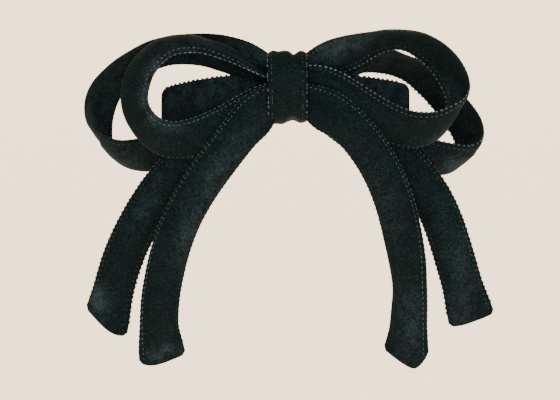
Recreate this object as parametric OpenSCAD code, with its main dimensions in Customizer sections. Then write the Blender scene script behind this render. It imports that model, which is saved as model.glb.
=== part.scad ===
// Velvet hair bow on a French barrette: two stacked bows, four tails, a wrapped knot,
// and a sprung steel clasp behind them. The bow faces -Y, +Z is up, and the origin is
// the middle of the barrette plate.

/* [Ribbon] */
// Width that a loop or tail ribbon shows once its edges curl
ribbon_w = 15; // [14:0.5:16]
// Thickness of the velvet ribbon in the loops and tails
ribbon_t = 1; // [0.8:0.1:1.1]
// Number of rings swept between two neighbouring stations
rings_per_span = 6; // [4:1:8]
// Gap at the bend line where a free tail leaves its fixed upper part
bend_gap = 0.4; // [0.3:0.05:0.6]

/* [Knot] */
// Width of the velvet wrap round the middle
knot_w = 14; // [12:0.5:14.5]
// Thickness of the wrap
wrap_t = 0.9; // [0.7:0.1:1]
// Width of the thread winding that ties the middle
thread_w = 2.4; // [1.6:0.4:3.2]

/* [Barrette] */
// Length of the steel plate from end to end
plate_len = 80; // [79:0.5:81]
// Width of the steel plate
plate_w = 9; // [8.8:0.1:9.4]
// Thickness of the steel plate
plate_t = 0.8; // [0.6:0.1:0.9]
// Radius that the plate is arched to
plate_r = 118; // [116:1:120]
// Length of the velvet cover over the plate
cover_len = 92; // [86:1:96]
// Width of the velvet cover
cover_w = 14.6; // [14:0.2:14.8]
// Thickness of the velvet cover
cover_t = 1; // [0.8:0.1:1]

/* [Clasp] */
// Distance of the hinge pin from the middle
hinge_x = 39.5; // [39:0.5:40]
// Height of the hinge pin behind the middle of the plate
hinge_y = 12.6; // [12.4:0.1:13]
// Radius of the hinge pin
pin_r = 0.8; // [0.6:0.1:0.9]
// Width of the clasp arm
arm_w = 5.5; // [4.5:0.5:6]
// Radius that the tension bar is bowed to
bar_r = 209; // [200:1:220]

/* [Hidden] */

velvet = "#17201e";
thread = "#101514";
steel = "#b9bcbf";
glue = "#d8cfae";

// Each station of a ribbon is [reach from the middle, depth, height, roll, width share].
// Roll 0 shows the ribbon flat from the front; a width share under 1 is gathered.
left_front = [
    [0.3, -10, 5, 76, 0.5], [7.5, -10.4, 6, 76, 0.65], [16, -11.4, 11.5, 75, 0.88],
    [25, -11.3, 16.2, 70, 1], [36, -10.8, 19.3, 60, 1], [46, -10, 17.5, 56, 1],
    [53.8, -9.5, 10.5, 44, 1], [57.5, -9, 1, 38, 1], [56, -10, -8, 50, 1],
    [50.5, -11.8, -15, 40, 1], [43, -13, -18.5, 22, 1], [33, -12.5, -17, 12, 1],
    [23, -12.5, -12, 8, 0.95], [14, -12.5, -6.5, 6, 0.85], [7.5, -12.5, -2, 6, 0.7],
    [0.3, -12.5, -1, 6, 0.6]];
left_rear = [
    [0.5, -4.5, 7.5, -10, 0.55], [7.5, -4.6, 8.6, -12, 0.64], [16, -4.2, 12.8, -18, 0.93],
    [26, -1, 16.5, -36, 1], [37, 2.2, 18, -48, 1], [49, 4, 17, -54, 1],
    [60, 5, 11, -50, 1], [69, 5.5, 3, -44, 1], [71.8, 5.2, -6, -46, 1],
    [70.6, 2.2, -14, -68, 1], [65.5, -0.8, -21, -112, 1], [56, -0.8, -24, -149, 1],
    [43, -3, -20.5, -158, 1], [30, -4, -14.5, -166, 1], [17, -4.5, -8, -170, 0.9],
    [7.5, -6, -3, -172, 0.6], [0.5, -6, -2.5, -172, 0.55]];
right_front = [
    [0.3, -7, 7.5, -14, 0.55], [7.5, -7.4, 8.6, -18, 0.66], [15, -8, 13, -28, 0.93],
    [24, -9, 16, -40, 1], [34, -9, 19.8, -68, 1], [43, -7.5, 20.8, -72, 1],
    [52, -7, 17, -55, 1], [59, -7, 10, -52, 1], [63, -7.5, 2, -54, 1],
    [62, -10, -5, -80, 1], [56, -12.5, -12.2, -124, 1], [48, -13, -14.8, -148, 1],
    [38, -13, -13, -162, 1], [28, -13, -7.4, -170, 1], [18, -12.8, 0, -173, 0.95],
    [9, -12.5, 5, -174, 0.72], [0.3, -12.3, 4.8, -174, 0.46]];
right_rear = [
    [0.3, -4.3, 4, -6, 0.55], [7.5, -4, 5, -8, 0.7], [16, -4, 8.6, -14, 0.93],
    [25, -5.2, 14.5, -34, 1], [35, 6.8, 13.8, -62, 1], [45, 9.8, 12.2, -60, 1],
    [55, 9, 4.8, -50, 1], [63.5, 8.5, -5, -42, 1], [69.3, 6, -14.5, -38, 1],
    [68.4, 1, -21.5, -80, 1], [62.5, -2.5, -25, -134, 1], [51, -3, -24, -156, 1],
    [38, -4, -19, -162, 1], [25, -4, -12, -168, 1], [14, -5, -7, -171, 0.85],
    [7.5, -6, -3, -172, 0.6], [0.3, -6, -2.5, -172, 0.55]];
left_inner = [
    [0.8, -14.6, -2, 0, 0.5], [7, -14.8, -2, 0, 0.38], [13.5, -16.2, -10.2, 0, 0.78],
    [19, -17.2, -17, 2, 1], [26, -17.5, -26, 4, 1], [34, -17.5, -37, 6, 1],
    [40.5, -17, -50, 6, 1], [44.5, -16, -64, 4, 1], [46.8, -15, -78, 4, 1],
    [46.5, -14, -89, 0, 1], [45, -13.5, -98.5, 0, 1.05]];
left_outer = [
    [0.3, -9, -2, 0, 0.5], [7.5, -9, -2.5, 0, 0.55], [20, -8.3, -13, 0, 0.95],
    [32, -8, -21.5, 0, 1], [42, -8, -29, 0, 1], [49, -8, -38, 0, 1],
    [55, -7.5, -48, 0, 1], [60, -7, -58, 2, 1], [63.5, -6.5, -69, 2, 1],
    [67.3, -6, -85.5, 0, 1]];
right_inner = [
    [0.8, -14.6, -1.5, 0, 0.5], [7, -14.8, -2.4, 0, 0.48], [13.5, -16.4, -6.5, 0, 0.95],
    [20, -17.3, -10.5, 0, 1], [27, -17.6, -18, 0, 1], [33.5, -17.5, -28, 0, 1],
    [38.3, -17, -40, -4, 1], [41.3, -16.5, -54, -14, 1], [43.3, -16, -68, -38, 1],
    [43, -15.5, -80, -30, 1], [42, -15, -99, -8, 1]];
right_outer = [
    [0.3, -9, -2, 0, 0.5], [7.5, -9, -2.5, 0, 0.55], [20, -8.3, -12, 0, 0.95],
    [33, -8, -19, 0, 1], [44, -8, -27, 0, 1], [51.5, -8, -36, 0, 1],
    [56.5, -7.5, -46, 0, 1], [60, -7, -57, 0, 1], [63.5, -6.5, -69, 0, 1],
    [67.5, -6, -83.5, 0, 1]];

// Station numbers of the bend lines, where a free tail starts to move
inner_bend = 2;
outer_bend = 4.5;

// Outline of the wrap, seen from the side: [depth, height]
wrap_route = [
    [-19, 3.5], [-18.6, 10], [-14, 15.2], [-8, 16], [-2, 14.6], [1.3, 8.4],
    [1.7, 2.5], [1.7, -3.5], [1.4, -9.8], [-4.5, -10.8], [-11, -11.4], [-17.4, -10.2],
    [-19, -2.5]];
// Outline of the thread winding, inside the wrap and in front of the cover
thread_route = [
    [-17.6, -2], [-16.6, 5], [-12.6, 10.4], [-8.5, 13.6], [-3.6, 13.6], [-2.3, 9.5],
    [-2.3, 4], [-2.3, -4], [-3.4, -8.9], [-10, -9.2], [-16.4, -8]];
outline_steps = 4;

tangent_step = 0.01;
arc_fn = 240;
pin_fn = 48;
touch = 0.4;

cover_r = plate_r + plate_t / 2;
adhesive_t = 0.2;
plate_back_r = plate_r - plate_t / 2;
thread_t = 0.7;
cover_front = plate_t / 2 + adhesive_t + cover_t;
pad_w = 7;
pad_t = 0.6;

// Behind the plate: the hinge, the clasp arm and the catch
ear_t = 0.8;
ear_w = 4;
arm_t = 0.8;
arm_mid_y = 10.6;
arm_r = 390;
knuckle_r = 1.7;
pin_play = 0.1;
frame_x = 39;
frame_len = 8.4;
frame_w = 8.8;
frame_t = 1.1;
window_len = 5;
window_w = 7;
bar_mid_y = 4.2;
bar_t = 0.5;
bar_w = 6;
bar_half = 34.5;
hook_x = 35.4;
hook_t = 0.8;
hook_w = 3;
catch_x = 36.6;
catch_top = 8.2;
catch_w = 6.4;
rivet_x = 38;
rivet_r = 0.9;
rivet_foot = 6.3;
wing_x = 38.9;
wing_len = 3.4;
wing_t = 0.6;
wing_z = 2.4;
wing_base = 8.5;
wing_top = 15.6;

// Uniform cubic B-spline through a list of stations, straight at both ends
function control(p, i) =
    i < 0 ? 2 * p[0] - p[1]
    : i > len(p) - 1 ? 2 * p[len(p) - 1] - p[len(p) - 2]
    : p[i];
function station(p, s) =
    let (i = min(floor(s), len(p) - 2), t = s - i)
    (control(p, i - 1) * pow(1 - t, 3)
        + control(p, i) * (3 * pow(t, 3) - 6 * t * t + 4)
        + control(p, i + 1) * (3 * t + 3 * t * t - 3 * pow(t, 3) + 1)
        + control(p, i + 2) * pow(t, 3)) / 6;
function place(q) = [-q[0], q[1], q[2]];
function unit(v) = v / norm(v);
function heading(p, s) =
    unit(place(station(p, min(s + tangent_step, len(p) - 1)))
        - place(station(p, max(s - tangent_step, 0))));

// Four corners of the ribbon's section at a point of its route
function section(p, s) =
    let (q = station(p, s),
        along = heading(p, s),
        side = unit(cross(along, [0, 1, 0])),
        out = cross(along, side),
        across = side * cos(q[3]) + out * sin(q[3]),
        normal = cross(along, across),
        a = across * ribbon_w * q[4] / 2,
        n = normal * ribbon_t / 2)
    [for (k = [[-1, -1], [1, -1], [1, 1], [-1, 1]]) place(q) + a * k[0] + n * k[1]];

// Two triangles for one side of the sweep, split alike on the ribbon's front and back
function halves(q, k) =
    k < 2 ? [[q[2], q[1], q[0]], [q[3], q[2], q[0]]] : [[q[3], q[1], q[0]], [q[3], q[2], q[1]]];

// A ribbon swept along its route between two station numbers
module ribbon(p, from, to) {
    rings = max(2, ceil((to - from) * rings_per_span));
    points = [for (r = [0:rings]) each section(p, from + (to - from) * r / rings)];
    caps = [[0, 1, 2, 3], [for (k = [3:-1:0]) rings * 4 + k]];
    sides = [for (r = [0:rings - 1], k = [0:3])
        each halves([4 * r + k, 4 * r + (k + 1) % 4, 4 * r + 4 + (k + 1) % 4, 4 * r + 4 + k], k)];
    polyhedron(points, concat(caps, sides));
}

module whole_ribbon(p) ribbon(p, 0, len(p) - 1);

function span(p, s) = norm(place(station(p, s + 0.5)) - place(station(p, s - 0.5)));

module tail_root(p, bend) ribbon(p, 0, bend - bend_gap / 2 / span(p, bend));

module free_tail(p, bend) ribbon(p, bend + bend_gap / 2 / span(p, bend), len(p) - 1);

// A strip bent to an arch about the Z direction, its middle at depth mid_y
module arch(r_in, r_out, axis_y, half_len, w) {
    half_angle = asin(half_len / r_out);
    translate([0, axis_y, -w / 2])
        rotate([0, 0, -90 - half_angle])
            rotate_extrude(angle = 2 * half_angle, $fn = arc_fn)
                translate([r_in, 0]) square([r_out - r_in, w]);
}

// Closed smooth outline through the wrap's points, moved inwards by an inset
function around(p, i) = p[(i + len(p)) % len(p)];
function loop_point(p, s) =
    let (i = floor(s), t = s - i)
    (around(p, i - 1) * pow(1 - t, 3)
        + around(p, i) * (3 * pow(t, 3) - 6 * t * t + 4)
        + around(p, i + 1) * (3 * t + 3 * t * t - 3 * pow(t, 3) + 1)
        + around(p, i + 2) * pow(t, 3)) / 6;
function inset_point(p, s, inset) =
    let (d = unit(loop_point(p, s + tangent_step) - loop_point(p, s)))
    loop_point(p, s) + inset * [d[1], -d[0]];
function outline(p, inset) =
    [for (k = [0:len(p) * outline_steps - 1]) inset_point(p, k / outline_steps, inset)];

// A band of width w that closes round the bow along a [depth, height] route
module closed_band(p, w, t) {
    rotate([90, 0, 90]) translate([0, 0, -w / 2]) linear_extrude(w) difference() {
        polygon(outline(p, 0));
        polygon(outline(p, t));
    }
}

module left_front_loop() color(velvet) whole_ribbon(left_front);
module left_rear_loop() color(velvet) whole_ribbon(left_rear);
module right_front_loop() color(velvet) mirror([1, 0, 0]) whole_ribbon(right_front);
module right_rear_loop() color(velvet) mirror([1, 0, 0]) whole_ribbon(right_rear);

module left_inner_tail_root() color(velvet) tail_root(left_inner, inner_bend);
module left_outer_tail_root() color(velvet) tail_root(left_outer, outer_bend);
module right_inner_tail_root() color(velvet) mirror([1, 0, 0]) tail_root(right_inner, inner_bend);
module right_outer_tail_root() color(velvet) mirror([1, 0, 0]) tail_root(right_outer, outer_bend);

module left_inner_tail() color(velvet) free_tail(left_inner, inner_bend);
module left_outer_tail() color(velvet) free_tail(left_outer, outer_bend);
module right_inner_tail() color(velvet) mirror([1, 0, 0]) free_tail(right_inner, inner_bend);
module right_outer_tail() color(velvet) mirror([1, 0, 0]) free_tail(right_outer, outer_bend);

// Velvet band that closes round the bow and the plate
module knot_wrap() color(velvet) closed_band(wrap_route, knot_w, wrap_t);

// Thread wound round the gathered middle, inside the wrap
module binding_thread() color(thread) closed_band(thread_route, thread_w, thread_t);

// Three short stitches that close the wrap on the back of the knot
module knot_stitches() color(thread) for (z = [-2.5, 0, 2.5])
    translate([-1.5, 1.9, z]) rotate([0, 90, 0]) cylinder(h = 3, r = 0.2, $fn = 16);

// Dab of glue between the tied middle and the velvet cover
module bow_glue_pad() color(glue) translate([-pad_w / 2, -cover_front - pad_t, -pad_w / 2])
    cube([pad_w, pad_t, pad_w]);

module barrette_cover() color(velvet)
    arch(cover_r + adhesive_t, cover_r + adhesive_t + cover_t, plate_r, cover_len / 2, cover_w);

module cover_adhesive() color(glue)
    arch(cover_r, cover_r + adhesive_t, plate_r, plate_len / 2 - 2, plate_w - 1);

// Arched plate with two hinge ears, two hooks for the tension bar and a rivet hole
module barrette_plate() color(steel) difference() {
    union() {
        arch(plate_back_r, cover_r, plate_r, plate_len / 2, plate_w);
        for (side = [-1, 1]) {
            translate([0, 0, side * (plate_w / 2 - ear_t / 2)]) hinge_ear();
            bar_hook(side);
        }
    }
    translate([-hinge_x, hinge_y, -plate_w]) cylinder(h = 2 * plate_w, r = pin_r, $fn = pin_fn);
    translate([rivet_x, 0, 0]) rotate([-90, 0, 0]) cylinder(h = 10, r = rivet_r + 0.05, $fn = pin_fn);
}

module hinge_ear() translate([0, 0, -ear_t / 2]) linear_extrude(ear_t) {
    translate([-hinge_x - ear_w / 2 + touch, 6.6]) square([ear_w - touch, hinge_y - 6.6]);
    translate([-hinge_x, hinge_y]) circle(r = ear_w / 2, $fn = pin_fn);
}

module bar_hook(side) for (part = [[hook_x, 5.2, hook_t, 3.2], [hook_x - 1.4, 7.7, 2.2, 0.7]])
    translate([side > 0 ? part[0] : -part[0] - part[2], part[1], -hook_w / 2])
        cube([part[2], part[3], hook_w]);

module hinge_pin() color(steel) translate([-hinge_x, hinge_y, -plate_w / 2 - 0.3])
    cylinder(h = plate_w + 0.6, r = pin_r, $fn = pin_fn);

// Thin arm that closes behind the hair: a knuckle, an arched strip and a window frame
module clasp_arm() color(steel) difference() {
    union() {
        arch(arm_r - arm_t / 2, arm_r + arm_t / 2, arm_mid_y + arm_r, hinge_x - 1.2, arm_w);
        translate([-hinge_x, hinge_y, -arm_w / 2]) cylinder(h = arm_w, r = knuckle_r, $fn = pin_fn);
        window_frame();
    }
    translate([-hinge_x, hinge_y, -arm_w])
        cylinder(h = 2 * arm_w, r = pin_r + pin_play, $fn = pin_fn);
    translate([frame_x - window_len / 2, arm_mid_y - 2, -window_w / 2])
        cube([window_len, 8, window_w]);
}

module window_frame() translate([frame_x, hinge_y - 0.05, 0]) rotate([0, 0, asin(frame_x / arm_r)])
    cube([frame_len, frame_t, frame_w], center = true);

module tension_bar() color(steel)
    arch(bar_r - bar_t / 2, bar_r + bar_t / 2, bar_mid_y + bar_r, bar_half, bar_w);

// Block that the two latch wings spring from, riveted to the plate's back
module catch_bracket() color(steel) difference() {
    intersection() {
        translate([catch_x, 4, -catch_w / 2])
            cube([plate_len / 2 - catch_x, catch_top - 4, catch_w]);
        translate([0, plate_r, -catch_w]) cylinder(h = 2 * catch_w, r = plate_back_r, $fn = arc_fn);
    }
    translate([rivet_x, 0, 0]) rotate([-90, 0, 0]) cylinder(h = 10, r = rivet_r + 0.05, $fn = pin_fn);
}

module catch_rivet() color(steel) translate([rivet_x, 0, 0]) rotate([-90, 0, 0]) {
    translate([0, 0, rivet_foot]) cylinder(h = catch_top + 0.1 - rivet_foot, r = rivet_r, $fn = pin_fn);
    translate([0, 0, catch_top]) cylinder(h = 0.5, r = 1.2, $fn = pin_fn);
}

// One springy wing of the catch, with a shoulder behind the arm and a finger tab
module latch_wing() translate([wing_x - wing_len / 2, 0, 0]) {
    translate([0, wing_base, wing_z]) cube([wing_len, wing_top - wing_base, wing_t]);
    translate([0, 13.5, wing_z]) cube([wing_len, 0.8, wing_t + 0.3]);
    translate([0, wing_top - 0.8, wing_z]) cube([wing_len, 0.8, wing_t + 0.3]);
}

module latch_upper() color(steel) latch_wing();
module latch_lower() color(steel) mirror([0, 0, 1]) latch_wing();

left_front_loop();
left_rear_loop();
right_front_loop();
right_rear_loop();
left_inner_tail_root();
left_outer_tail_root();
right_inner_tail_root();
right_outer_tail_root();
left_inner_tail();
left_outer_tail();
right_inner_tail();
right_outer_tail();
knot_wrap();
binding_thread();
knot_stitches();
bow_glue_pad();
barrette_cover();
cover_adhesive();
barrette_plate();
hinge_pin();
clasp_arm();
tension_bar();
catch_bracket();
catch_rivet();
latch_upper();
latch_lower();
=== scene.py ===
"""Velvet hair bow on a French barrette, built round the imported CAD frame.

The four loops, four tails, knot wrap and clip cover are velvet strips with picot edges and a
stitched hem. The metal clasp and the hidden thread and glue are the CAD nodes themselves.

Lengths are in mm until a surface function turns its points into metres. Along a strip d is the
distance from where it leaves the knot, and across it u runs from -1 to 1.
"""
import math

import bpy
import numpy as np
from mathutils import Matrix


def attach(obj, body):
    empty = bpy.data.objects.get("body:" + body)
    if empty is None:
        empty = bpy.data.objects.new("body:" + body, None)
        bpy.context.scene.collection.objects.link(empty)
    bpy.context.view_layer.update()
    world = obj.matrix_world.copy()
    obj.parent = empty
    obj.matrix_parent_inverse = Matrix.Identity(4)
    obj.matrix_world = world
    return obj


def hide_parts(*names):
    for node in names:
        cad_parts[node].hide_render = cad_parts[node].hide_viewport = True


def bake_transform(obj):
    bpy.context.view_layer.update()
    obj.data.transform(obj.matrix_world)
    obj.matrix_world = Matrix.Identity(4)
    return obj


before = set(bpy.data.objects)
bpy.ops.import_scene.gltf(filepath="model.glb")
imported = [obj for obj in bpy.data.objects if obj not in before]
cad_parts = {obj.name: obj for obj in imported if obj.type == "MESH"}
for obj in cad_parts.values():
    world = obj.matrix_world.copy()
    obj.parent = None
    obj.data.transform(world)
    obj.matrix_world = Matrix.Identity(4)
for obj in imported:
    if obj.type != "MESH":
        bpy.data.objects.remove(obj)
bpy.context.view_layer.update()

MM = 0.001
SEED = 7
rng = np.random.default_rng(SEED)

# The velvet ribbon
RIBBON_FLAT = 16.0          # flat width, mm
HALF_THICK = 0.36           # half of the velvet's thickness, mm
EDGE_THICK = 0.16           # half of the woven edge's thickness, mm
EDGE_ZONE = 0.84, 0.98      # where the velvet thins to its woven edge, as shares of the half width
HEM_SHARE = 0.79            # where the hem row runs, as a share of the half width
HEM_GROOVE = 0.15, 0.035    # depth of the groove along the hem row in mm, and its width as a share

# How a strip is sampled
RING_STEP = 0.7             # distance between rings along a ribbon, mm
ACROSS = np.concatenate([[-1.0, -0.97, -0.92, -0.86], np.linspace(-0.81, 0.81, 22),
                         [0.86, 0.92, 0.97, 1.0]])
ROUTE_SAMPLES = 2000        # points that measure a route
SLOPE_STEP = 0.01           # in stations, for the direction of a route
PHASES = 8                  # random phases drawn for each strip; its waves use the first six
PHASE_RANGE = 0, 6.28

# The curl across a ribbon, in radians of half angle, and the extra curl of its edges
CUP = 0.62
CUP_GROWS = 8, 24           # distances from the knot over which the curl grows
CUP_INSIDE = 0.8            # share of the curl where the hollow side faces the viewer
CUP_LEVEL = 0.32            # shifts a curled strip so that the route runs midway through its depth
LIP_START = 0.74            # where the extra curl begins, as a share of the half width
LIP_GAIN = 5
CURVE_STEPS = 16            # slopes added up from the middle of a ribbon to a point across it

# The cut ends of the tails
END_FLATTENS = 0.85         # share of the curl that is gone at the end
END_FLAT_ZONE = 16, 3       # over these distances from the end
END_FLARE = 0.08            # the cut end is wider by this share
FLARE_REACH = 12
CUT_REACH = 18              # the slant of the cut is spread over this length
CUT_CORNER = 1.3            # how far the corners of the cut are rounded off, mm
CORNER_ZONE = 0.8, 1.0
CUT_BLUR = 0, -0.1, 0.1, -0.2, 0.2      # the cut's line is averaged over these shifts across

# Folds where the ribbon is squeezed into the knot
GATHER_FOLDS = 3
GATHER_DEPTH = 0.8          # as a share of the depth that would take up all the lost width
INNER_TAIL_SPREADS = -3, 17     # the inner tails open out over these distances, sooner than in CAD

# Soft folds that fan out of the knot: height, waves across, drift along, reach from the knot
FAN_HEIGHT, FAN_WAVES, FAN_DRIFT, FAN_REACH = 0.42, 1.6, 0.05, (10, 42)
# Waviness all along: height in mm, then radians per mm along and radians per half width across
SLOW_WAVES = [(0.22, 0.21, 1.7), (0.14, 0.47, -2.4)]
FINE_HEIGHT, FINE_WAVES = 0.05, [(1.3, 4), (-0.6, 5)]
EDGE_STIFFNESS = 0.55       # share of the waves that the woven edges hold back

# The threads of the edges, half sizes in mm
PICOT_PITCH = 1.85
THREAD_LONG = 0.6
THREAD_ROUND = 0.2
HEM_RISE = 0.3, 0.1         # how proud the hem's stitches stand: always, and more where their painted glint is strong
ROW_STEP = 0.2              # step that measures a row, in the surface's own d
AHEAD, INWARD = 0.3, 0.06   # steps along and across that give a thread's directions
UNSTEADY = 0.11             # spread of the threads' places along their row
THREAD_VARY = 0.85, 1.12
GLINT_VARY = 0.6, 1.25
GLINT_FADE = 0.5, 34        # share of the painted glint left far from the ends, and over what distance
PICOT_GROWS = 15, 50        # the picots are pressed flat near the knot and stand out from here
PICOT_LEAST = 0.45
EDGING_START, EDGING_STOP = 2.0, 1.0

MOST_PAINTED_SHEEN = 1.5          # cap on the sum of the painted sheen patches
BLEND_REACH = 5             # ribbon on each side of a tail's bend line, for a bend that the script doesn't make

# Each station is [reach from the middle, depth, height, roll, width share], in mm and degrees,
# as in the CAD source. Roll 0 shows the ribbon flat from the front.
ROUTES = {
    "left_front_loop": [
        [0.3, -10, 5, 76, 0.5], [7.5, -10.4, 6, 76, 0.65], [16, -11.4, 11.5, 75, 0.88],
        [25, -11.3, 16.2, 70, 1], [36, -10.8, 19.3, 60, 1], [46, -10, 17.5, 56, 1],
        [53.8, -9.5, 10.5, 44, 1], [57.5, -9, 1, 38, 1], [56, -10, -8, 50, 1],
        [50.5, -11.8, -15, 40, 1], [43, -13, -18.5, 22, 1], [33, -12.5, -17, 12, 1],
        [23, -12.5, -12, 8, 0.95], [14, -12.5, -6.5, 6, 0.85], [7.5, -12.5, -2, 6, 0.7],
        [0.3, -12.5, -1, 6, 0.6]],
    "left_rear_loop": [
        [0.5, -4.5, 7.5, -10, 0.55], [7.5, -4.6, 8.6, -12, 0.64], [16, -4.2, 12.8, -18, 0.93],
        [26, -1, 16.5, -36, 1], [37, 2.2, 18, -48, 1], [49, 4, 17, -54, 1],
        [60, 5, 11, -50, 1], [69, 5.5, 3, -44, 1], [71.8, 5.2, -6, -46, 1],
        [70.6, 2.2, -14, -68, 1], [65.5, -0.8, -21, -112, 1], [56, -0.8, -24, -149, 1],
        [43, -3, -20.5, -158, 1], [30, -4, -14.5, -166, 1], [17, -4.5, -8, -170, 0.9],
        [7.5, -6, -3, -172, 0.6], [0.5, -6, -2.5, -172, 0.55]],
    "right_front_loop": [
        [0.3, -7, 7.5, -14, 0.55], [7.5, -7.4, 8.6, -18, 0.66], [15, -8, 13, -28, 0.93],
        [24, -9, 16, -40, 1], [34, -9, 19.8, -68, 1], [43, -7.5, 20.8, -72, 1],
        [52, -7, 17, -55, 1], [59, -7, 10, -52, 1], [63, -7.5, 2, -54, 1],
        [62, -10, -5, -80, 1], [56, -12.5, -12.2, -124, 1], [48, -13, -14.8, -148, 1],
        [38, -13, -13, -162, 1], [28, -13, -7.4, -170, 1], [18, -12.8, 0, -173, 0.95],
        [9, -12.5, 5, -174, 0.72], [0.3, -12.3, 4.8, -174, 0.46]],
    "right_rear_loop": [
        [0.3, -4.3, 4, -6, 0.55], [7.5, -4, 5, -8, 0.7], [16, -4, 8.6, -14, 0.93],
        [25, -5.2, 14.5, -34, 1], [35, 6.8, 13.8, -62, 1], [45, 9.8, 12.2, -60, 1],
        [55, 9, 4.8, -50, 1], [63.5, 8.5, -5, -42, 1], [69.3, 6, -14.5, -38, 1],
        [68.4, 1, -21.5, -80, 1], [62.5, -2.5, -25, -134, 1], [51, -3, -24, -156, 1],
        [38, -4, -19, -162, 1], [25, -4, -12, -168, 1], [14, -5, -7, -171, 0.85],
        [7.5, -6, -3, -172, 0.6], [0.3, -6, -2.5, -172, 0.55]],
    "left_inner_tail": [
        [0.8, -14.6, -2, 0, 0.5], [7, -14.8, -2, 0, 0.38], [13.5, -16.2, -10.2, 0, 0.78],
        [19, -17.2, -17, 2, 1], [26, -17.5, -26, 4, 1], [34, -17.5, -37, 6, 1],
        [40.5, -17, -50, 6, 1], [44.5, -16, -64, 4, 1], [46.8, -15, -78, 4, 1],
        [46.5, -14, -89, 0, 1], [45, -13.5, -98.5, 0, 1.05]],
    "left_outer_tail": [
        [0.3, -9, -2, 0, 0.5], [7.5, -9, -2.5, 0, 0.55], [20, -8.3, -13, 0, 0.95],
        [32, -8, -21.5, 0, 1], [42, -8, -29, 0, 1], [49, -8, -38, 0, 1],
        [55, -7.5, -48, 0, 1], [60, -7, -58, 2, 1], [63.5, -6.5, -69, 2, 1],
        [67.3, -6, -85.5, 0, 1]],
    "right_inner_tail": [
        [0.8, -14.6, -1.5, 0, 0.5], [7, -14.8, -2.4, 0, 0.48], [13.5, -16.4, -6.5, 0, 0.95],
        [20, -17.3, -10.5, 0, 1], [27, -17.6, -18, 0, 1], [33.5, -17.5, -28, 0, 1],
        [38.3, -17, -40, -4, 1], [41.3, -16.5, -54, -14, 1], [43.3, -16, -68, -38, 1],
        [43, -15.5, -80, -30, 1], [42, -15, -99, -8, 1]],
    "right_outer_tail": [
        [0.3, -9, -2, 0, 0.5], [7.5, -9, -2.5, 0, 0.55], [20, -8.3, -12, 0, 0.95],
        [33, -8, -19, 0, 1], [44, -8, -27, 0, 1], [51.5, -8, -36, 0, 1],
        [56.5, -7.5, -46, 0, 1], [60, -7, -57, 0, 1], [63.5, -6.5, -69, 0, 1],
        [67.5, -6, -83.5, 0, 1]],
}

# Station number of each tail's bend line
BENDS = {"left_inner_tail": 2, "left_outer_tail": 4.5,
         "right_inner_tail": 2, "right_outer_tail": 4.5}

# How far each cut end stands out, in mm, at five places from the outer edge to the inner one
CUT_PLACES = [-1, -0.5, 0, 0.5, 1]
CUTS = {
    "left_inner_tail": [-1.8, -0.2, -0.6, -1.6, -2.8],
    "left_outer_tail": [-5.4, -2.6, 0.2, 2.0, 1.4],
    "right_inner_tail": [-5.4, 1.0, -0.6, -3.2, -6.0],
    "right_outer_tail": [-1.0, -0.3, 0, 0.3, -0.4],
}

# Which side of the sweep bulges, and the extra curl of the two edges in radians. The first edge is
# the outer one where a strip leaves the knot, and the second the inner one.
CURLS = {
    "left_front_loop": (1, 0.55, 0.35), "left_rear_loop": (-1, 0.6, 0.4),
    "right_front_loop": (-1, 0.15, 0.2), "right_rear_loop": (-1, 0.3, 0.4),
    "left_inner_tail": (1, 0.55, 0.95), "left_outer_tail": (1, 0.1, 0.15),
    "right_inner_tail": (1, 0.45, 0.9), "right_outer_tail": (1, 0.15, 0.3),
}

# Picot size per strip: how far the loops of the edge stand out, in mm
PICOT_OUT = {
    "left_front_loop": 0.26, "left_rear_loop": 0.2, "right_front_loop": 0.44,
    "right_rear_loop": 0.48, "left_inner_tail": 0.3, "left_outer_tail": 0.46,
    "right_inner_tail": 0.3, "right_outer_tail": 0.46, "knot_wrap": 0.3, "barrette_cover": 0.55,
}

# Painted highlight on the edge threads, from 0 to 1, on the first and the second edge
EDGE_SHINE = {
    "left_front_loop": (0.55, 0.9), "left_rear_loop": (0.12, 0.3),
    "right_front_loop": (0.7, 0.75), "right_rear_loop": (0.4, 0.5),
    "left_inner_tail": (0.85, 0.06), "left_outer_tail": (0.4, 0.35),
    "right_inner_tail": (0.75, 0.06), "right_outer_tail": (0.5, 0.25),
    "knot_wrap": (0.75, 0.6), "barrette_cover": (0.15, 0.15),
}

# Strips whose hem rows get less painted glint than their edges
HEM_GLINT = {"knot_wrap": 0.35}

# Painted sheen patches, lighter pile colour: [distance from the knot in mm, half length, across,
# half width, strength]
PAINTED_SHEEN_PATCHES = {
    "left_front_loop": [[52, 14, 0.9, 0.5, 0.5], [84, 22, 0.9, 0.35, 0.8],
                        [34, 10, 0.0, 0.5, 0.3]],
    "left_rear_loop": [[14, 20, -0.5, 0.6, 0.9], [70, 40, 0, 2, 0.25],
                       [88, 6, -0.6, 0.4, 1.4], [100, 12, 0.4, 0.5, 0.3]],
    "right_front_loop": [[20, 13, -0.4, 0.6, 1.3], [84, 9, 0.6, 0.5, 1.5],
                         [74, 6, 0.6, 0.5, 0.5]],
    "right_rear_loop": [[22, 12, -0.6, 0.5, 0.5], [97, 9, 0.2, 0.6, 1.5],
                        [40, 30, 0, 2, 0.2]],
    "left_inner_tail": [[36, 22, 0.3, 0.6, 0.48], [64, 14, 0.6, 0.4, 0.4],
                        [110, 3, 0.2, 0.8, 0.9]],
    "left_outer_tail": [[106, 6, -0.6, 0.5, 1.3], [62, 14, -0.2, 0.5, 0.3]],
    "right_inner_tail": [[100, 14, -0.2, 0.7, 0.5], [52, 16, 0.3, 0.6, 0.25]],
    "right_outer_tail": [[88, 16, -0.1, 0.7, 0.4], [108, 6, 0.3, 0.7, 0.4]],
}


# ---------------------------------------------------------------- ribbon shape

def smooth(x, a, b):
    """0 below a, 1 above b, and a smooth step between."""
    t = np.clip((np.asarray(x, float) - a) / (b - a), 0, 1)
    return t * t * (3 - 2 * t)


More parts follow.
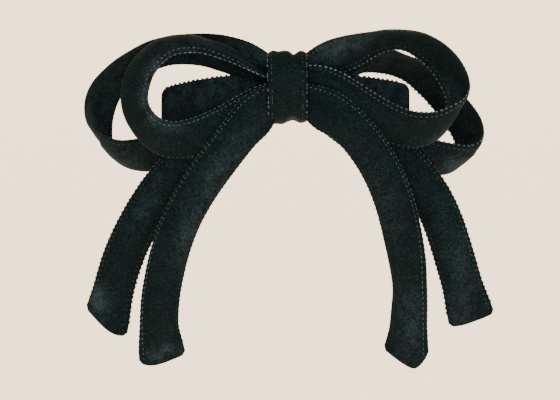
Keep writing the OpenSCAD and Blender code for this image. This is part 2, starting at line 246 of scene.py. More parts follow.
def bell(x, middle, width):
    """1 at the middle, falling off smoothly on both sides."""
    return np.exp(-((x - middle) / width) ** 2)


def unit(v):
    """The vectors scaled to length 1."""
    return v / np.maximum(np.linalg.norm(v, axis=-1, keepdims=True), 1e-12)


def path_run(points):
    """Distance along a line of points, from 0 at its first point."""
    return np.concatenate([[0], np.cumsum(np.linalg.norm(np.diff(points, axis=0), axis=1))])


def cubic_mix(a, b, c, d, t):
    """Uniform cubic B-spline between b and c, as t goes from 0 to 1."""
    return ((1 - t) ** 3 * a + (3 * t ** 3 - 6 * t ** 2 + 4) * b
            + (-3 * t ** 3 + 3 * t ** 2 + 3 * t + 1) * c + t ** 3 * d) / 6


def spline(stations, s):
    """B-spline through open stations, straight past both ends."""
    p = np.array(stations, float)
    p = np.vstack([2 * p[0] - p[1], p, 2 * p[-1] - p[-2]])
    i = np.clip(np.floor(s).astype(int), 0, len(stations) - 2)
    return cubic_mix(p[i], p[i + 1], p[i + 2], p[i + 3], (s - i)[:, None])


def closed_spline(route, s):
    """B-spline round a closed route."""
    p = np.array(route, float)
    n = len(p)
    i = np.floor(s).astype(int)
    return cubic_mix(p[(i - 1) % n], p[i % n], p[(i + 1) % n], p[(i + 2) % n], (s - i)[:, None])


def across_curve(u, curl, lips):
    """Sideways and forward place across a curled strip of half width 1, by adding up its slope."""
    steps = (np.arange(CURVE_STEPS) + 0.5) / CURVE_STEPS
    w = np.abs(u)[:, None] * steps[None, :]
    lip = lips[:, None] * smooth(w, LIP_START, 1.0) * (w - LIP_START) * LIP_GAIN
    angle = curl[:, None] * w + lip
    return u * np.cos(angle).mean(1), -np.abs(u) * np.sin(angle).mean(1)


class Strip:
    """A ribbon's route with its frames, ready to place any point of its surface."""

    def __init__(self, name):
        self.name = name
        self.right = name.startswith("right")
        self.tail = name.endswith("tail")
        self.stations = ROUTES[name]
        self.fine = np.linspace(0, len(self.stations) - 1, ROUTE_SAMPLES)
        self.run = path_run(self.places(self.fine))
        self.length = self.run[-1]
        self.phase = rng.uniform(*PHASE_RANGE, PHASES)

    def places(self, s):
        """Points of the route at stations s, as on the left side of the bow."""
        return spline(self.stations, s)[:, :3] * np.array([-1, 1, 1])

    def frames(self, d):
        """Place, direction along, across and out of the cloth, facing and width share at d."""
        s = np.interp(d, self.run, self.fine)
        before = self.places(np.maximum(s - SLOPE_STEP, 0))
        after = self.places(np.minimum(s + SLOPE_STEP, len(self.stations) - 1))
        along = unit(after - before)
        side = unit(np.cross(along, [0, 1, 0]))
        out = np.cross(along, side)
        q = spline(self.stations, s)
        roll = np.radians(q[:, 3:4])
        across = side * np.cos(roll) + out * np.sin(roll)
        return self.places(s), along, across, np.cross(along, across), np.cos(roll[:, 0]), q[:, 4]

    def from_knot(self, d):
        """Distance to the knot: a loop comes back to it, a tail doesn't."""
        return d if self.tail else np.minimum(d, self.length - d)

    def curl(self, d, facing):
        """The curl across the ribbon: none in the knot, and little at a cut end."""
        curl = CUP * smooth(self.from_knot(d), *CUP_GROWS)
        if self.tail:
            far, near = END_FLAT_ZONE
            curl = curl * (1 - END_FLATTENS * smooth(d, self.length - far, self.length - near))
        bulge = CURLS[self.name][0]
        return curl * np.where(bulge * facing < 0, CUP_INSIDE, 1)

    def width_share(self, d, share):
        """The route's width share, opened out faster on the inner tails."""
        if self.name.endswith("inner_tail"):
            return np.maximum(share, 0.5 + 0.5 * smooth(d, *INNER_TAIL_SPREADS))
        return share

    def half_width(self, d, share):
        half = RIBBON_FLAT / 2 * np.minimum(share, 1)
        if self.tail:
            half = half * (1 + END_FLARE * smooth(d, self.length - FLARE_REACH, self.length))
        return half

    def gathers(self, u, half, share):
        """Folds that take up the width where the ribbon is squeezed into the knot."""
        gather = np.clip(1 / np.clip(share, 0.5, 1) - 1, 0, 1)
        depth = half / (math.pi * GATHER_FOLDS) * np.sqrt(gather) * GATHER_DEPTH
        return depth * np.cos(math.pi * GATHER_FOLDS * (u + 1) + self.phase[0])

    def wrinkle(self, d, u):
        """Soft folds that fan out of the knot, and a slight waviness all along."""
        phase = self.phase
        near = 1 - smooth(self.from_knot(d), *FAN_REACH)
        fan = FAN_HEIGHT * near * np.cos(math.pi * FAN_WAVES * u + phase[1] + FAN_DRIFT * d)
        slow = sum(height * np.sin(d * along + across * u + start)
                   for (height, along, across), start in zip(SLOW_WAVES, phase[2:4]))
        (along_a, across_a), (along_b, across_b) = FINE_WAVES
        fine = (FINE_HEIGHT * np.sin(d * along_a + across_a * u + phase[4])
                * np.cos(across_b * u + along_b * d + phase[5]))
        return (fan + slow + fine) * (1 - EDGE_STIFFNESS * np.abs(u) ** 4)

    def surface(self, d, u, lift):
        """Points at distances d (n) and across-positions u (n), raised by lift (n) on the front."""
        on_route = np.clip(d, 0, self.length)
        place, along, across, normal, facing, share = self.frames(on_route)
        past_end = (d - on_route)[:, None] * along
        curl = self.curl(d, facing)
        bulge, outer_lip, inner_lip = CURLS[self.name]
        lips = np.where(u < 0, outer_lip, inner_lip) * curl / CUP
        share = self.width_share(d, share)
        half = self.half_width(d, share)
        a, b = across_curve(u, curl, lips)
        a = a * half
        b = (b + curl * CUP_LEVEL) * half * bulge
        b = b + self.gathers(u, half, share) + self.wrinkle(d, u)
        return place + past_end + across * a[:, None] + normal * (b + lift)[:, None]

    def cut(self, d, u):
        """Slides the last stretch of a tail along, for its slanted and rounded cut end."""
        if not self.tail:
            return d
        blurred = [np.interp(u + shift, CUT_PLACES, CUTS[self.name]) for shift in CUT_BLUR]
        corner = CUT_CORNER * smooth(np.abs(u), *CORNER_ZONE) ** 2
        slide = sum(blurred) / len(CUT_BLUR) - corner
        return d + smooth(d, self.length - CUT_REACH, self.length) * slide

    def place_all(self, d, u, lift):
        """Points of the strip in metres, on its own side of the bow, in the shape of d and u."""
        d, u, lift = np.broadcast_arrays(d, u, lift)
        flat = self.surface(self.cut(d.ravel(), u.ravel()), u.ravel(), lift.ravel())
        if self.right:
            flat = flat * np.array([-1, 1, 1])
        return flat.reshape(d.shape + (3,)) * MM


def half_thickness(u):
    """Plump in the middle, thin at the woven edges, with a groove along each hem row."""
    a = np.abs(u)
    depth, width = HEM_GROOVE
    body = EDGE_THICK + (HALF_THICK - EDGE_THICK) * (1 - smooth(a, *EDGE_ZONE))
    return body - depth * bell(a, HEM_SHARE, width)


def painted_sheen_of(name, d, u):
    """How much painted sheen lightens the pile at each point, from 0 up to the cap on the patches.
    """
    total = np.zeros(np.broadcast(d, u).shape)
    for middle, length, across, width, strength in PAINTED_SHEEN_PATCHES[name]:
        total += strength * np.exp(-((d - middle) / length) ** 2 - ((u - across) / width) ** 2)
    return np.clip(total, 0, MOST_PAINTED_SHEEN)


# ---------------------------------------------------------------- meshes

def make_object(name, points, faces, materials, slots=None):
    """A smooth-shaded mesh object in the scene. Slots give each face its material number."""
    mesh = bpy.data.meshes.new(name)
    mesh.from_pydata([tuple(p) for p in points], [], faces)
    for m in materials:
        mesh.materials.append(m)
    mesh.polygons.foreach_set("use_smooth", [True] * len(mesh.polygons))
    if slots is not None:
        mesh.polygons.foreach_set("material_index", slots)
    mesh.update()
    obj = bpy.data.objects.new(name, mesh)
    bpy.context.scene.collection.objects.link(obj)
    return obj


def add_value(obj, name, values):
    """A number at each point, for the materials."""
    attribute = obj.data.attributes.new(name, "FLOAT", "POINT")
    attribute.data.foreach_set("value", np.asarray(values, np.float32).ravel())


def add_weave(obj, d, u):
    """Where each point lies on its flat ribbon, in mm, for the ribs of the cloth."""
    flat = np.stack(np.broadcast_arrays(d, u * RIBBON_FLAT / 2, 0 * d), axis=-1).reshape(-1, 3)
    attribute = obj.data.attributes.new("weave", "FLOAT_VECTOR", "POINT")
    attribute.data.foreach_set("vector", np.concatenate([flat, flat]).astype(np.float32).ravel())


def shell(front, back, closed=False):
    """One closed mesh from two grids of points that share their rows and columns."""
    rows, cols = front.shape[:2]
    points = np.concatenate([front.reshape(-1, 3), back.reshape(-1, 3)])
    off = rows * cols
    faces = []
    for r in range(rows if closed else rows - 1):
        n = (r + 1) % rows
        for c in range(cols - 1):
            q = (r * cols + c, r * cols + c + 1, n * cols + c + 1, n * cols + c)
            faces.append(q)
            faces.append(tuple(off + k for k in reversed(q)))
        for c in (0, cols - 1):
            q = (r * cols + c, n * cols + c, off + n * cols + c, off + r * cols + c)
            faces.append(q if c == 0 else tuple(reversed(q)))
    if not closed:
        for r in (0, rows - 1):
            for c in range(cols - 1):
                q = (r * cols + c, off + r * cols + c, off + r * cols + c + 1, r * cols + c + 1)
                faces.append(q if r == 0 else tuple(reversed(q)))
    return points, faces


# One bead of thread: rings of points round an ellipsoid, used for picots and stitches
BEAD_RINGS, BEAD_SIDES = 4, 6


def bead_template():
    """Points and faces of a bead with half axes of 1."""
    points = [(-1, 0, 0)]
    for r in range(1, BEAD_RINGS):
        a = math.pi * r / BEAD_RINGS
        for k in range(BEAD_SIDES):
            t = 2 * math.pi * k / BEAD_SIDES
            points.append((-math.cos(a), math.sin(a) * math.cos(t), math.sin(a) * math.sin(t)))
    points.append((1, 0, 0))
    last = len(points) - 1
    faces = [(0, 1 + (k + 1) % BEAD_SIDES, 1 + k) for k in range(BEAD_SIDES)]
    for r in range(BEAD_RINGS - 2):
        base = 1 + r * BEAD_SIDES
        for k in range(BEAD_SIDES):
            n = (k + 1) % BEAD_SIDES
            faces.append((base + k, base + n, base + BEAD_SIDES + n, base + BEAD_SIDES + k))
    base = 1 + (BEAD_RINGS - 2) * BEAD_SIDES
    faces += [(base + k, base + (k + 1) % BEAD_SIDES, last) for k in range(BEAD_SIDES)]
    return np.array(points), faces


BEAD, BEAD_FACES = bead_template()


def beads(centres, a, b, c):
    """Ellipsoids with half axes a, b and c (n by 3 vectors each) at the centres."""
    points = (centres[:, None] + BEAD[None, :, 0:1] * a[:, None]
              + BEAD[None, :, 1:2] * b[:, None] + BEAD[None, :, 2:3] * c[:, None])
    faces = [tuple(v + k * len(BEAD) for v in face)
             for k in range(len(centres)) for face in BEAD_FACES]
    return points.reshape(-1, 3), faces


def thread_distances(at, u, start, end, shift):
    """Evenly spaced places along one line of a surface, a little unsteady as sewn ones are."""
    fine = np.arange(start, end, ROW_STEP)
    run = path_run(at(fine, u, 0.0))
    count = max(2, int(run[-1] / MM / PICOT_PITCH))
    d = np.interp((np.arange(count) + shift) * PICOT_PITCH * MM, run, fine)
    return d + rng.normal(0, UNSTEADY, count)


def thread_frames(at, d, u, inner_u):
    """Places of the threads, and their directions along, outward and up."""
    here = at(d, u, 0.0)
    tangent = unit(at(d + AHEAD, u, 0.0) - here)
    outward = unit(here - at(d, inner_u, 0.0))
    return here, tangent, outward, unit(np.cross(tangent, outward))


def picot_size(name, d):
    """How far the picots stand out at distances d, in mm."""
    if name in ROUTES:
        growth = smooth(d, *PICOT_GROWS)
        return PICOT_OUT[name] * (PICOT_LEAST + (1 - PICOT_LEAST) * growth)
    return np.full(len(d), PICOT_OUT[name])


def thread_row(name, at, start, end, edge, painted_highlight, hem):
    """The picots along one edge, or the stitches of the hem inside it, with their painted glints.
    """
    share = HEM_SHARE if hem else 1.0
    d = thread_distances(at, edge * share, start, end, 0.5 if hem else 0.0)
    here, tangent, outward, up = thread_frames(at, d, edge * share, edge * (share - INWARD))
    vary = rng.uniform(*THREAD_VARY, (len(d), 1))
    least, reach = GLINT_FADE
    fade = least + (1 - least) * bell(np.minimum(d - start, end - d), 0, reach)
    painted_glint = np.clip(painted_highlight * fade * rng.uniform(*GLINT_VARY, len(d)), 0, 1)
    if hem:
        painted_glint = painted_glint * HEM_GLINT.get(name, 1)
        out = outward * THREAD_ROUND * MM
        rise = HEM_RISE[0] + HEM_RISE[1] * painted_highlight
    else:
        out = outward * picot_size(name, d)[:, None] * MM * vary
        rise = THREAD_ROUND
    points, faces = beads(here, tangent * THREAD_LONG * MM * vary, out, up * rise * MM)
    return points, faces, np.repeat(painted_glint, len(BEAD))


def make_edging(name, at, start, end):
    """One object with the picots and hem stitches of both edges of a surface function at."""
    points, faces, slots, glints, base = [], [], [], [], 0
    for edge, painted_highlight in zip((-1, 1), EDGE_SHINE[name]):
        for hem in (False, True):
            row, row_faces, painted_glint = thread_row(name, at, start, end, edge, painted_highlight, hem)
            points.append(row)
            glints.append(painted_glint)
            faces += [tuple(v + base for v in face) for face in row_faces]
            slots += [int(hem)] * len(row_faces)
            base += len(row)
    obj = make_object(name + "_edging", np.concatenate(points), faces, [PICOT, HEM], slots=slots)
    # Painted glint of each thread, for the painted highlight in the thread material
    add_value(obj, "painted_glint", np.concatenate(glints))
    return obj


# ---------------------------------------------------------------- materials

class Shade:
    """A new material with one Principled shader, and short calls for the nodes that feed it."""

    def __init__(self, name):
        self.material = bpy.data.materials.new(name)
        self.material.use_nodes = True
        self.nodes = self.material.node_tree.nodes
        self.links = self.material.node_tree.links
        self.nodes.clear()
        out = self.nodes.new("ShaderNodeOutputMaterial")
        self.shader = self.nodes.new("ShaderNodeBsdfPrincipled")
        self.links.new(self.shader.outputs[0], out.inputs[0])
        self.coord = self.nodes.new("ShaderNodeTexCoord").outputs["Object"]

    def feed(self, output, socket):
        """Links an output to one of the shader's sockets."""
        self.links.new(output, self.shader.inputs[socket])

    def fix(self, constants):
        """Sets sockets of the shader that are the same all over."""
        for socket, value in constants.items():
            self.shader.inputs[socket].default_value = value

    def attribute(self, name, output="Fac"):
        node = self.nodes.new("ShaderNodeAttribute")
        node.attribute_name = name
        return node.outputs[output]

    def stretched(self, coord, scale):
        node = self.nodes.new("ShaderNodeMapping")
        node.inputs["Scale"].default_value = scale
        self.links.new(coord, node.inputs["Vector"])
        return node.outputs[0]

    def noise(self, coord, scale, detail, rough=0.5):
        node = self.nodes.new("ShaderNodeTexNoise")
        node.inputs["Scale"].default_value = scale
        node.inputs["Detail"].default_value = detail
        node.inputs["Roughness"].default_value = rough
        self.links.new(coord, node.inputs["Vector"])
        return node.outputs["Fac"]

    def ramp(self, value, low, high):
        """A colour that goes from low to high, each given as (position, colour)."""
        node = self.nodes.new("ShaderNodeValToRGB")
        for element, (position, colour) in zip(node.color_ramp.elements, (low, high)):
            element.position, element.color = position, (*colour, 1)
        self.links.new(value, node.inputs["Fac"])
        return node.outputs["Color"]

    def math(self, operation, *values):
        node = self.nodes.new("ShaderNodeMath")
        node.operation = operation
        for k, value in enumerate(values):
            if isinstance(value, (int, float)):
                node.inputs[k].default_value = value
            else:
                self.links.new(value, node.inputs[k])
        return node.outputs[0]

    def add(self, a, b):
        return self.math("ADD", a, b)

    def times(self, a, b):
        return self.math("MULTIPLY", a, b)

    def scaled(self, value, factor, offset):
        return self.math("MULTIPLY_ADD", value, factor, offset)

    def swing(self, value, size):
        """A noise moved to lie evenly about 0, from -size / 2 to size / 2."""
        return self.scaled(value, size, -size / 2)

    def between(self, value, least, most):
        """A value from 0 to 1 mapped to lie between least and most."""
        node = self.nodes.new("ShaderNodeMapRange")
        node.inputs["To Min"].default_value = least
        node.inputs["To Max"].default_value = most
        self.links.new(value, node.inputs["Value"])
        return node.outputs[0]

    def bump(self, value, strength, distance):
        node = self.nodes.new("ShaderNodeBump")
        node.inputs["Strength"].default_value = strength
        node.inputs["Distance"].default_value = distance
        self.links.new(value, node.inputs["Height"])
        self.feed(node.outputs["Normal"], "Normal")


# Noises as scale, detail and roughness. Scales are per metre, but per mm on the flat ribbon for
# the ribs. Bumps are strength and distance in metres. Other pairs are a factor and an offset.
PATCHES, SPECKS, NAP, TUFTS = (190, 6, 0.7), (1900, 2, 0.8), (2600, 2, 0.6), (700, 3, 0.6)
RIBS, RIB_STRETCH = (1.7, 2, 0.6), (1.0, 0.32, 1.0)
SPECK_SWING, RIB_SWING = 2.2, 1.2
PATCHED, MOTTLED, LEAST_TONE = (3.0, -0.9), (0.4, -0.1), 0.02
GRAIN_BY_TONE = 1.5, 0.5    # pile painted lighter, by sheen patches or mottle, shows more grain
PILE_BUMP = 0.6, 0.00035

SHINE_SPOTS, SPOTTED = (450, 2), (1.6, 0.2)
TWIST, TWIST_BUMP = (3500, 2), (0.4, 0.0002)

BRUSH_STRETCH, BRUSH_DETAIL, BRUSH_BUMP = (0.06, 1, 1), 3, (0.12, 0.0001)
METAL_DARK = 0.86
SCUFFS, SCUFF_SPREAD = (160, 4), (0.75, 1.5)    # the scuffs change the roughness by these factors

BLOBS, BLOB_BUMP = (500, 3), (0.5, 0.0003)
PAPER_TONE = 3, 2


def velvet_material(name, base, sheen_and_mottle, sheen_tint):
    """Dark pile: painted sheen patches and random mottle a little lighter, a fine nap, and a soft
    sheen at the turns.
    """
    shade = Shade(name)
    patches = shade.noise(shade.coord, *PATCHES)
    specks = shade.noise(shade.coord, *SPECKS)
    weave = shade.stretched(shade.attribute("weave", "Vector"), RIB_STRETCH)
    ribs = shade.noise(weave, *RIBS)
    grain = shade.add(shade.swing(specks, SPECK_SWING), shade.swing(ribs, RIB_SWING))
    # Painted sheen: the painted sheen values lighten the pile colour, broken up by the patch noise
    painted_sheen = shade.times(shade.attribute("painted_lift"), shade.scaled(patches, *PATCHED))
    mottle = shade.scaled(patches, *MOTTLED)
    level = shade.math("MAXIMUM", shade.add(painted_sheen, mottle), LEAST_TONE)
    tone = shade.add(level, shade.times(grain, shade.scaled(level, *GRAIN_BY_TONE)))
    shade.feed(shade.ramp(tone, (0.0, base), (1.0, sheen_and_mottle)), "Base Color")
    nap, tufts = shade.noise(shade.coord, *NAP), shade.noise(shade.coord, *TUFTS)
    shade.bump(shade.add(shade.add(nap, tufts), ribs), *PILE_BUMP)
    shade.fix({"Roughness": 0.8, "Specular IOR Level": 0.04, "Sheen Weight": 0.03,
               "Sheen Roughness": 0.32, "Sheen Tint": (*sheen_tint, 1)})
    return shade.material


def thread_material(name, base, painted_highlight):
    """Satin edge thread: dark where its glint value is low, with a painted highlight where it is
    high.
    """
    shade = Shade(name)
    spots = shade.scaled(shade.noise(shade.coord, *SHINE_SPOTS), *SPOTTED)
    level = shade.times(shade.attribute("painted_glint"), spots)
    # Painted highlight: glint values and noise spots mix the bright colour into the thread's own
    shade.feed(shade.ramp(level, (0.0, base), (1.0, painted_highlight)), "Base Color")
    shade.bump(shade.noise(shade.coord, *TWIST), *TWIST_BUMP)
    shade.fix({"Roughness": 0.55, "Specular IOR Level": 0.2})
    return shade.material


def metal_material(name, base, rough, grain):
    """Plated or brushed steel: fine grain along the clip, and light scuffs."""
    shade = Shade(name)
    lines = shade.noise(shade.stretched(shade.coord, BRUSH_STRETCH), grain, BRUSH_DETAIL)
    dark = tuple(METAL_DARK * c for c in base)
    shade.feed(shade.ramp(lines, (0.35, dark), (0.65, base)), "Base Color")
    least, most = (rough * factor for factor in SCUFF_SPREAD)
    shade.feed(shade.between(shade.noise(shade.coord, *SCUFFS), least, most), "Roughness")
    shade.bump(lines, *BRUSH_BUMP)
    shade.fix({"Metallic": 1.0})
    return shade.material


def glue_material(name, dark, light):
    """Dried glue: cloudy and a little lumpy."""
    shade = Shade(name)
    blobs = shade.noise(shade.coord, *BLOBS)
    shade.feed(shade.ramp(blobs, (0.3, dark), (0.7, light)), "Base Color")
    shade.bump(blobs, *BLOB_BUMP)
    shade.fix({"Roughness": 0.4})
    return shade.material


def paper_material(name, dark, light, glow, strength):
    """Pale backdrop paper that glows, so that it stays even behind the dark bow."""
    shade = Shade(name)
    tone = shade.noise(shade.coord, *PAPER_TONE)
    shade.feed(shade.ramp(tone, (0.3, dark), (0.7, light)), "Base Color")
    shade.fix({"Roughness": 0.95, "Specular IOR Level": 0.05, "Emission Color": (*glow, 1),
               "Emission Strength": strength})
    return shade.material


# The second colour is the pile's painted sheen and random mottle; the third is the shader's sheen
# tint
VELVET = velvet_material("black_green_velvet", (0.0010, 0.0034, 0.0030),
                         (0.0155, 0.0222, 0.0245), (0.40, 0.80, 0.82))
# Each thread's second colour is its painted highlight
PICOT = thread_material("picot_satin", (0.003, 0.006, 0.0056), (0.082, 0.108, 0.112))
HEM = thread_material("hem_stitch", (0.003, 0.006, 0.0056), (0.092, 0.121, 0.126))
BINDING = thread_material("binding_thread_black", (0.012, 0.016, 0.016), (0.03, 0.034, 0.034))
PLATED = metal_material("plated_steel", (0.48, 0.49, 0.52), 0.2, 900)
SPRING = metal_material("spring_steel", (0.42, 0.44, 0.48), 0.32, 1400)
GLUE = glue_material("dried_glue", (0.5, 0.43, 0.27), (0.68, 0.6, 0.42))


# ---------------------------------------------------------------- ribbons

def build_strip(strip):
    """The velvet of one ribbon and the threads of its edges."""
    name = strip.name
    d = np.linspace(0, strip.length, int(strip.length / RING_STEP))[:, None]
    u = ACROSS[None, :]
    h = half_thickness(u)
    points, faces = shell(strip.place_all(d, u, h), strip.place_all(d, u, -h))
    body = make_object(name + "_ribbon", points, faces, [VELVET])
    # Painted sheen patches, a lighter pile colour on the ribbon
    add_value(body, "painted_lift", np.tile(painted_sheen_of(name, d, u).ravel(), 2))
    add_weave(body, d, u)
    edging = make_edging(name, strip.place_all, EDGING_START, strip.length - EDGING_STOP)
    return body, edging


def place_ribbon(name):
    """Builds one ribbon: a loop moves with the bow, and a tail stays where it is built; the ends of
    its bend are worked out but not used.
    """
    strip = Strip(name)
    body, edging = build_strip(strip)
    if strip.tail:
        middle = np.interp(BENDS[name], strip.fine, strip.run)
        reach = np.array([middle - BLEND_REACH, middle + BLEND_REACH])
        start, end = strip.place_all(reach, 0.0, 0.0)
        for piece in (body, edging):
            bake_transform(piece)
        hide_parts(name + "_root", name)
    else:
        for piece in (body, edging):
            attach(piece, "bow")
        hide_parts(name)


# ---------------------------------------------------------------- knot wrap

WRAP_WIDTH = 13.9
WRAP_SHIFT = -0.35          # the wrap sits a little left of the middle
WRAP_INSET = 0.3            # its middle surface lies this far inside the route
WRAP_RINGS = 150
WRAP_ACROSS = np.concatenate([[-1, -0.96], np.linspace(-0.9, 0.9, 34), [0.96, 1]])
WRAP_STATION = 5.7          # ribbon between two stations of the route, mm

# Closed route of the wrap's outside, as [depth, height]. The front is near station 0.
WRAP_ROUTE = [
    [-19, 3.5], [-18.6, 10], [-14, 15.0], [-8, 15.6], [-2, 14.4], [1.3, 8.4], [1.7, 2.5],
    [1.7, -3.5], [1.4, -9.8], [-4.5, -10.8], [-11, -11.4], [-17.4, -10.2], [-19, -2.5]]
WRAP_FRONT, FRONT_REACH = 0.2, 1.8
WRAP_TOP, TOP_REACH = 2.6, 1.1
WRAP_BOTTOM, BOTTOM_REACH = 10.0, 1.4

# Notches where the wrap pinches in over the top and the bottom: depth in mm, width as a share
NOTCH_PLACE = 0.3           # both are right of the middle
TOP_NOTCH = 1.3, 0.18
BOTTOM_NOTCH = 2.2, 0.26
WRAP_CROWN, WRAP_EDGE_DIP = 0.5, 0.55
# Folds that run round the wrap: height, waves across, drift along, phase
WRAP_FOLDS = [(0.16, 7.5, 0.5, 0), (0.1, 13, -0.9, 1)]
FOLDS_LEAST = 0.35          # share of the folds left away from the top and the bottom
WRAP_LEAN, LEAN_FROM = 0.045, 4     # the left edge leans inwards below this height, mm
RIGHT_LEAN = 0.2            # the right edge leans this much as strongly, and outwards


def wrap_at(d, v, lift):
    """Points of the wrap: d runs round it in stations, v across it from left to right."""
    d, v, lift = np.broadcast_arrays(d, v, lift)
    shape = d.shape
    s, v, lift = d.ravel() % len(WRAP_ROUTE), v.ravel(), lift.ravel()
    here = closed_spline(WRAP_ROUTE, s)
    along = unit(closed_spline(WRAP_ROUTE, s + SLOPE_STEP) - here)
    outward = np.stack([-along[:, 1], along[:, 0]], axis=1)
    top = bell(s, WRAP_TOP, TOP_REACH)
    bottom = bell(s, WRAP_BOTTOM, BOTTOM_REACH)
    to_front = np.minimum(np.abs(s - WRAP_FRONT), np.abs(s - WRAP_FRONT - len(WRAP_ROUTE)))
    front = bell(to_front, 0, FRONT_REACH)
    notch = (TOP_NOTCH[0] * top * bell(v, NOTCH_PLACE, TOP_NOTCH[1])
             + BOTTOM_NOTCH[0] * bottom * bell(v, NOTCH_PLACE, BOTTOM_NOTCH[1]))
    crown = WRAP_CROWN * (1 - v ** 2) * front - WRAP_EDGE_DIP * np.abs(v) ** 6
    folds = sum(height * np.sin(waves * v + drift * s + phase)
                for height, waves, drift, phase in WRAP_FOLDS)
    depth = FOLDS_LEAST + (1 - FOLDS_LEAST) * (top + bottom)
    raised = lift - WRAP_INSET - notch + crown + folds * depth
    yz = here + outward * raised[:, None]
    lean = WRAP_LEAN * (LEAN_FROM - yz[:, 1]) * np.where(v < 0, -v, RIGHT_LEAN * v) * front
    x = v * WRAP_WIDTH / 2 + WRAP_SHIFT + lean
    return np.stack([x, yz[:, 0], yz[:, 1]], axis=1).reshape(shape + (3,)) * MM


def place_wrap():
    """Builds the velvet wrap round the knot."""
    stations = len(WRAP_ROUTE)
    d = np.linspace(0, stations, WRAP_RINGS, endpoint=False)[:, None]
    v = WRAP_ACROSS[None, :]
    h = half_thickness(v)
    points, faces = shell(wrap_at(d, v, h), wrap_at(d, v, -h), closed=True)
    wrap = make_object("knot_wrap_velvet", points, faces, [VELVET])
    add_weave(wrap, d * WRAP_STATION, v)
    edging = make_edging("knot_wrap", wrap_at, 0.0, float(stations))
    for piece in (wrap, edging):
        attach(piece, "bow")
    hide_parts("knot_wrap")


# ---------------------------------------------------------------- clip cover

COVER_LEFT, COVER_RIGHT = -47.6, 45.6
COVER_HALF_WIDTH = 7.9
COVER_HALF_LENGTH = 46
COVER_EDGING = -45.5, 43.5
COVER_RINGS = 120
# The cover's pile is painted this much lighter all over, on the scale of the painted sheen patches
COVER_PAINTED_LIFT = 0.75
CORNER_R = 2.6
CORNER_RINGS = np.array([0, 0.06, 0.2, 0.45, 0.8, 1.3, 1.9])    # distances from each end
ARCH_CENTRE = 118.0         # depth of the centre that the clip's arch bends round
COVER_RADIUS = 119.1
DROOP_LEFT, DROOP_RIGHT, DROOP_POWER = 5.0, 3.4, 2.5
COVER_WAVE = 0.12, 0.33, 2      # height, waves along and across
END_DIP = 0.5               # how far the corners bend back


def cover_at(d, v, lift):
    """Points of the strip over the clip: d is x in mm, v runs from its lower to its upper edge."""
    d, v, lift = np.broadcast_arrays(d, v, lift)
    reach = np.where(d < 0, d / COVER_LEFT, d / COVER_RIGHT)
    droop = np.where(d < 0, DROOP_LEFT, DROOP_RIGHT) * reach ** DROOP_POWER
    to_end = np.clip((1 - reach) * COVER_HALF_LENGTH, 0, CORNER_R)
    rounding = CORNER_R - np.sqrt(np.maximum(CORNER_R ** 2 - (CORNER_R - to_end) ** 2, 0))
    half = COVER_HALF_WIDTH - rounding
    height, along, across = COVER_WAVE
    wave = height * np.sin(along * d + across * v)
    r = COVER_RADIUS + lift + wave * (1 - reach) - END_DIP * reach ** 3 * v ** 2
    y = ARCH_CENTRE - r * np.cos(np.arcsin(np.clip(d / r, -1, 1)))
    return np.stack([d + 0 * y, y, v * half - droop], axis=-1) * MM


def place_cover():
    """Builds the velvet strip that covers the clip."""
    middle = np.linspace(COVER_LEFT + CORNER_R, COVER_RIGHT - CORNER_R, COVER_RINGS)
    x = np.concatenate([COVER_LEFT + CORNER_RINGS, middle,
                        (COVER_RIGHT - CORNER_RINGS)[::-1]])[:, None]
    v = ACROSS[None, :]
    h = half_thickness(v)
    points, faces = shell(cover_at(x, v, h), cover_at(x, v, -h))
    cover = make_object("barrette_cover_velvet", points, faces, [VELVET])
    # Painted lightening of the whole cover
    add_value(cover, "painted_lift", np.full(len(points), COVER_PAINTED_LIFT))
    add_weave(cover, x, v)
    edging = make_edging("barrette_cover", cover_at, *COVER_EDGING)
    for piece in (cover, edging):
        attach(piece, "bow")
    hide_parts("barrette_cover")


# ---------------------------------------------------------------- CAD nodes that show

LOOKS = {
    "barrette_plate": PLATED, "hinge_pin": PLATED, "clasp_arm": PLATED, "catch_bracket": PLATED,
    "catch_rivet": PLATED, "latch_upper": SPRING, "latch_lower": SPRING, "tension_bar": SPRING,
    "binding_thread": BINDING, "knot_stitches": BINDING, "bow_glue_pad": GLUE,
    "cover_adhesive": GLUE,
}


def dress(node, look):
    """Gives a CAD node its finish, in every material slot it has."""
    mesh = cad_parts[node].data
    if not mesh.materials:
        mesh.materials.append(look)
    for k in range(len(mesh.materials)):
        mesh.materials[k] = look


# ---------------------------------------------------------------- stage, light and camera

# The backdrop, in metres: floor and wall joined by a quarter turn
FLOOR_Z, FRONT_Y, BEND_Y, BEND_RADIUS, TOP_Z, HALF_SPAN = -0.30, -1.2, 0.9, 0.5, 2.2, 2.5
BEND_STEPS = 12

SKY, SKY_STRENGTH = (0.86, 0.96, 1.0), 0.8
COOL_WHITE = (0.9, 0.98, 1)
# Soft lights: place, aim, size in metres, power in watts, colour
LIGHTS = {
    "key": ((-0.5, -0.7, 0.7), (0, 0, 0), 0.5, 3, COOL_WHITE),
    "fill": ((0.7, -0.6, 0.35), (0, 0, -0.03), 0.5, 2.2, COOL_WHITE),
    "front": ((0.0, -1.0, 0.1), (0, 0, -0.03), 0.7, 6, COOL_WHITE),
    "low": ((0.0, -0.45, -0.27), (0, 0, -0.03), 0.4, 3, (0.5, 0.82, 1)),
}

CAMERA_PLACE = -0.0030, -0.5756, -0.0389
CAMERA_LENS, CAMERA_SENSOR, CAMERA_CLIP = 100, 36, (0.01, 20)


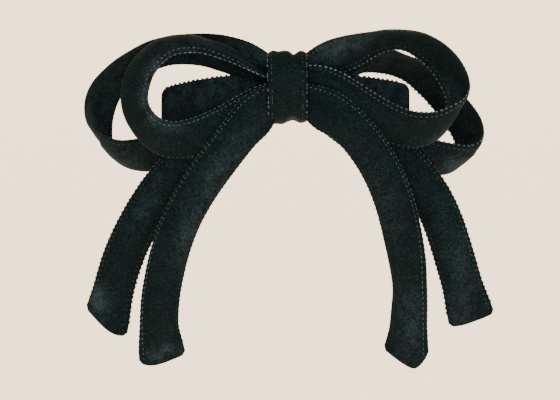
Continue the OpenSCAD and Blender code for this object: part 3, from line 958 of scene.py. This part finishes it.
def backdrop():
    """A pale floor that sweeps up into a wall far behind the bow."""
    profile = [(FRONT_Y, FLOOR_Z), (BEND_Y, FLOOR_Z)]
    for k in range(1, BEND_STEPS + 1):
        a = math.pi / 2 * k / BEND_STEPS
        profile.append((BEND_Y + BEND_RADIUS * math.sin(a),
                        FLOOR_Z + BEND_RADIUS * (1 - math.cos(a))))
    profile.append((BEND_Y + BEND_RADIUS, TOP_Z))
    points = [(x, y, z) for y, z in profile for x in (-HALF_SPAN, HALF_SPAN)]
    faces = [(2 * k, 2 * k + 1, 2 * k + 3, 2 * k + 2) for k in range(len(profile) - 1)]
    paper = paper_material("pale_paper", (0.765, 0.70, 0.63), (0.775, 0.71, 0.64),
                           (1.0, 0.725, 0.45), 2.05)
    make_object("pale_floor", points, faces, [paper])


def area_light(name, place, aim, size, power, colour):
    """A square light at place, turned towards aim."""
    data = bpy.data.lights.new(name, "AREA")
    data.shape = "SQUARE"
    data.size = size
    data.energy = power
    data.color = colour
    obj = bpy.data.objects.new(name, data)
    obj.location = place
    x, y, z = np.array(aim) - np.array(place)
    obj.rotation_euler = (math.pi / 2 + math.atan2(z, math.hypot(x, y)), 0, -math.atan2(x, y))
    bpy.context.scene.collection.objects.link(obj)


def studio():
    """Soft light from all round, and four lights at the front."""
    world = bpy.data.worlds.new("soft_studio")
    world.use_nodes = True
    background = world.node_tree.nodes["Background"]
    background.inputs["Color"].default_value = (*SKY, 1)
    background.inputs["Strength"].default_value = SKY_STRENGTH
    bpy.context.scene.world = world
    for name, settings in LIGHTS.items():
        area_light(name, *settings)


def photo_camera():
    """The camera at the photograph's angle, looking straight along +Y."""
    data = bpy.data.cameras.new("photo_camera")
    data.lens = CAMERA_LENS
    data.sensor_width = CAMERA_SENSOR
    data.clip_start, data.clip_end = CAMERA_CLIP
    obj = bpy.data.objects.new("photo_camera", data)
    obj.location = CAMERA_PLACE
    obj.rotation_euler = (math.pi / 2, 0, 0)
    bpy.context.scene.collection.objects.link(obj)
    bpy.context.scene.camera = obj


# ---------------------------------------------------------------- the bow

for ribbon_name in ROUTES:
    place_ribbon(ribbon_name)
place_wrap()
place_cover()
for cad_node, look in LOOKS.items():
    dress(cad_node, look)
backdrop()
studio()
photo_camera()
